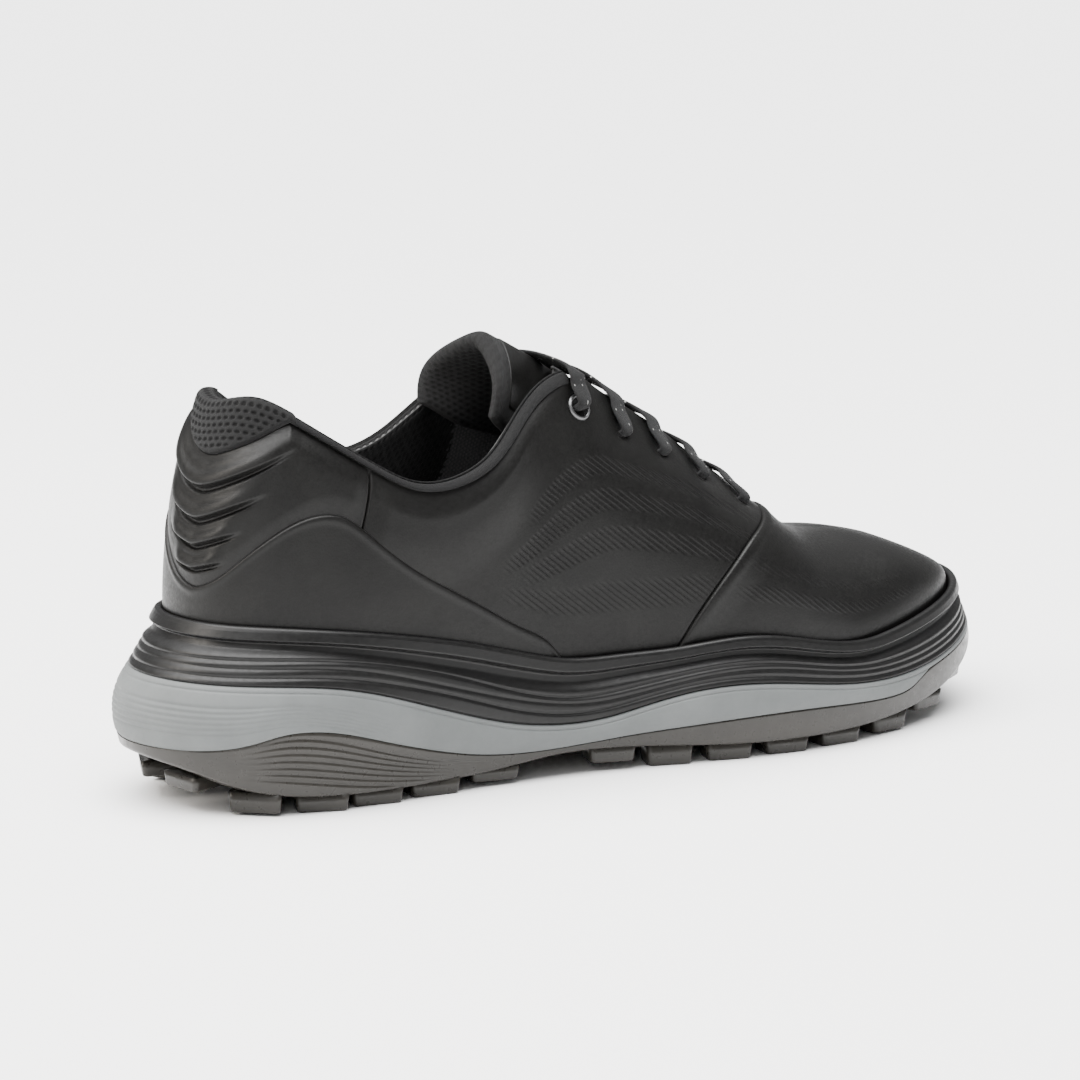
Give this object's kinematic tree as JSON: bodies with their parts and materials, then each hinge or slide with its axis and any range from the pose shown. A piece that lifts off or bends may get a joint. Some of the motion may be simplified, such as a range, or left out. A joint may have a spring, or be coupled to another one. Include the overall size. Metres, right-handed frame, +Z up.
{
  "type": "golf shoe",
  "caption": "Low-cut laced golf shoe for the right foot, with a leather upper, padded collar, layered midsole and a translucent lugged outsole.",
  "frame": {"origin": "centre of the bounding box at ground level, under the middle of the sole", "axes": "+Y towards the toe, +X towards the outer (lateral) side of the foot, +Z up"},
  "size_m": [0.1072, 0.3036, 0.1303],
  "materials": {
    "black_leather": "satin",
    "black_foam": "satin",
    "grey_foam": "matt",
    "smoke_rubber": "smoky, slightly translucent",
    "shank_plastic": "moulded",
    "board": "pressed fibre",
    "footbed_foam": "open-cell foam",
    "lining_fabric": "knitted",
    "mesh": "open mesh",
    "binding": "woven",
    "stiffener": "thermoformed sheet",
    "white_foam": "open-cell foam",
    "label": "woven, blank",
    "lace_cord": "flat braid with pale flecks",
    "eyelet_metal": "dark lacquer"
  },
  "bodies": {
    "shoe": {"outsole": "smoke_rubber", "heel_lugs": "smoke_rubber", "forefoot_lugs": "smoke_rubber", "midsole_lower": "grey_foam", "midsole_upper": "black_foam", "shank": "shank_plastic", "lasting_board": "board", "vamp": "black_leather", "toe_puff": "stiffener", "vamp_lining": "lining_fabric", "quarter_lateral": "black_leather", "quarter_medial": "black_leather", "eyestay_backing_lateral": "stiffener", "eyestay_backing_medial": "stiffener", "quarter_lining_lateral": "lining_fabric", "quarter_lining_medial": "lining_fabric", "heel_foxing": "black_leather", "heel_collar_panel": "black_leather", "heel_tab": "mesh", "heel_counter": "stiffener", "collar_foam": "white_foam", "collar_lining": "mesh", "collar_binding": "binding", "lace": "lace_cord", "top_eyelets": "eyelet_metal"},
    "tongue": {"tongue_cover": "black_leather", "tongue_foam": "white_foam", "tongue_lining": "mesh", "tongue_label": "label"},
    "footbed": {"footbed_foam": "footbed_foam", "footbed_cover": "lining_fabric"}
  },
  "joints": [
    {"name": "tongue_press", "type": "hinge", "parent": "shoe", "child": "tongue", "pos_m": [0, 0.066, 0.057], "axis": [1, 0, 0], "range_deg": [0, 8], "stiffness_Nm_per_rad": 0.3, "springref_deg": -11.46},
    {"name": "footbed_lift", "type": "hinge", "parent": "shoe", "child": "footbed", "pos_m": [0, 0.1385, 0.0355], "axis": [-1, 0, 0], "range_deg": [0, 5]}
  ]
}
